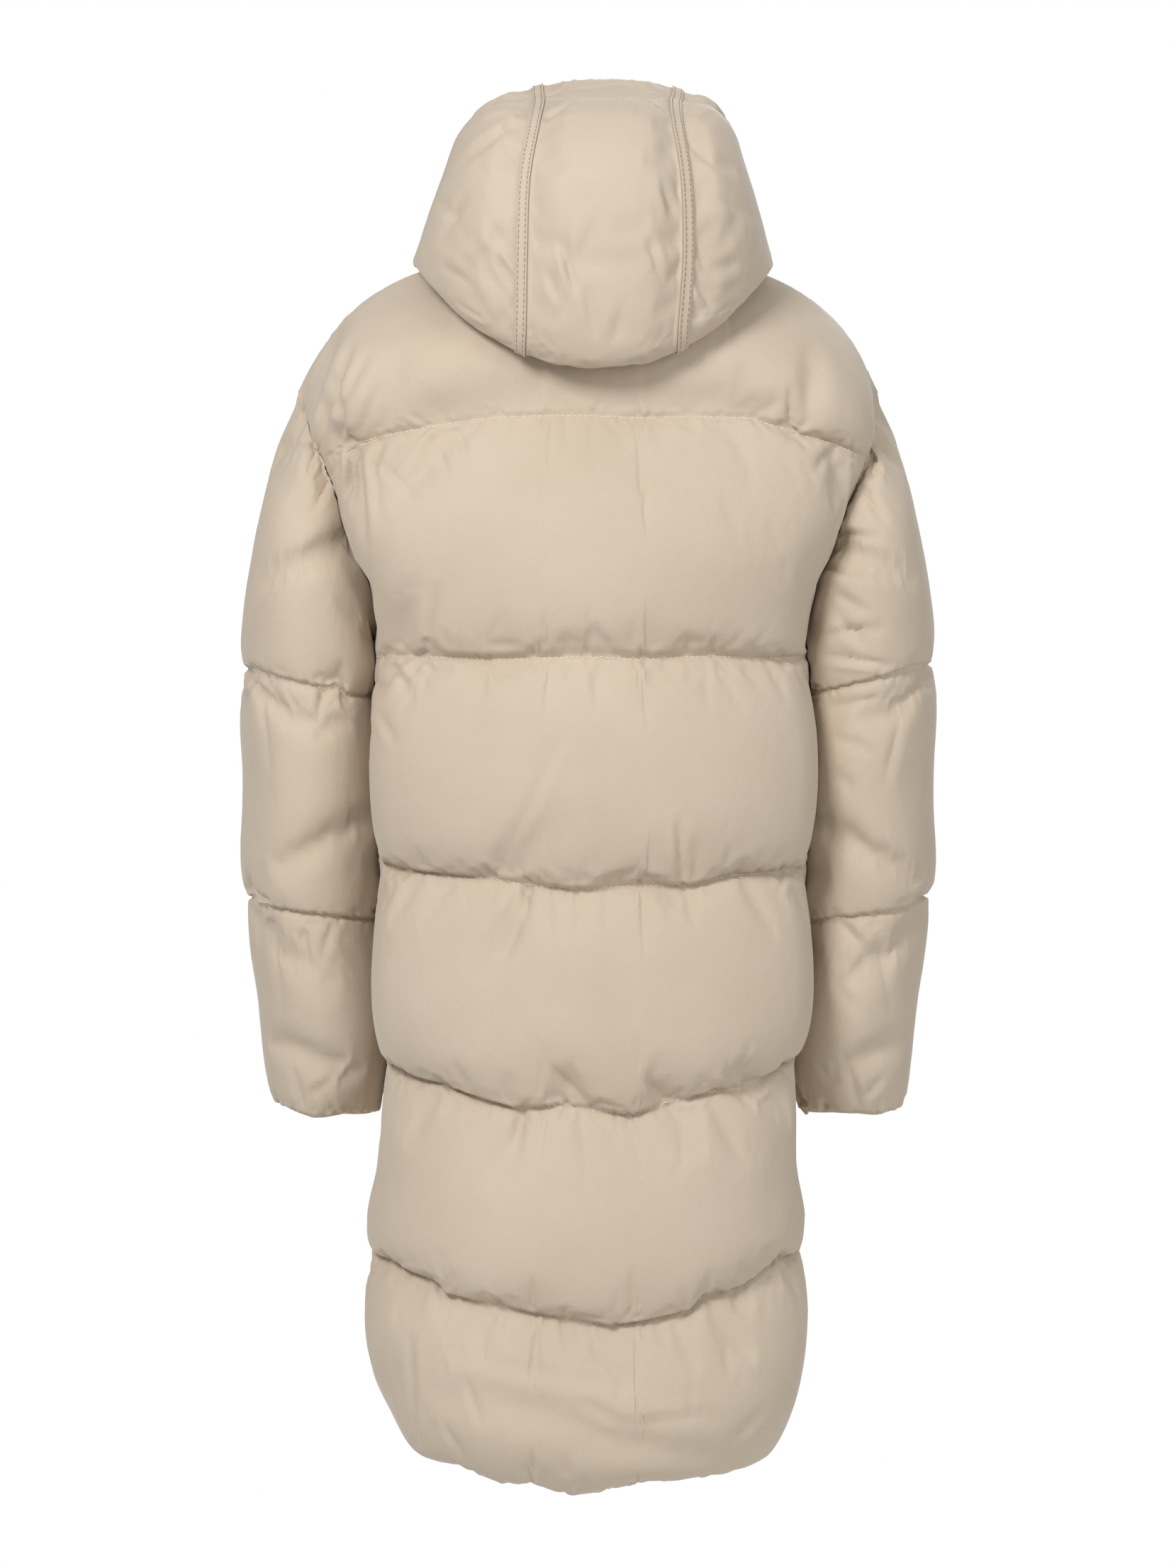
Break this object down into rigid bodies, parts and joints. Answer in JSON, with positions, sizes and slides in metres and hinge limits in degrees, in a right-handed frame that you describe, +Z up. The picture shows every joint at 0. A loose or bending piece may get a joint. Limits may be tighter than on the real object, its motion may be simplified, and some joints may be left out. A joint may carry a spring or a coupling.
{
  "type": "long hooded puffer coat",
  "caption": "Knee-length quilted puffer coat with a stand-away hood, dropped shoulders and a front zip, hollow as worn with nobody in it.",
  "frame": {"origin": "middle of the neck opening, level with the nape seam, where the wearer's neck and shoulders carry the coat", "axes": "+Z up along the wearer, -Y towards the front zip, +X towards the wearer's left sleeve"},
  "size_m": [0.6172, 0.3585, 1.2281],
  "materials": {
    "shell": "matte sand-beige peach-skin shell over light padding",
    "tape": "woven zip tape",
    "metal": "satin"
  },
  "bodies": {
    "coat": {"back": "shell", "front_left": "shell", "front_right": "shell", "sleeve_left": "shell", "sleeve_right": "shell", "hood_centre": "shell", "hood_side_left": "shell", "hood_side_right": "shell", "hood_seam_left": "shell", "hood_seam_right": "shell", "zip_tape_left": "tape", "zip_tape_right": "tape", "zip_slider": "metal"},
    "pull_tab": {"zip_pull": "metal"}
  },
  "joints": [
    {"name": "pull_swing", "type": "hinge", "parent": "coat", "child": "pull_tab", "pos_m": [0, -0.12934, -0.00848], "axis": [-1, 0, 0], "range_deg": [-15, 140]}
  ]
}
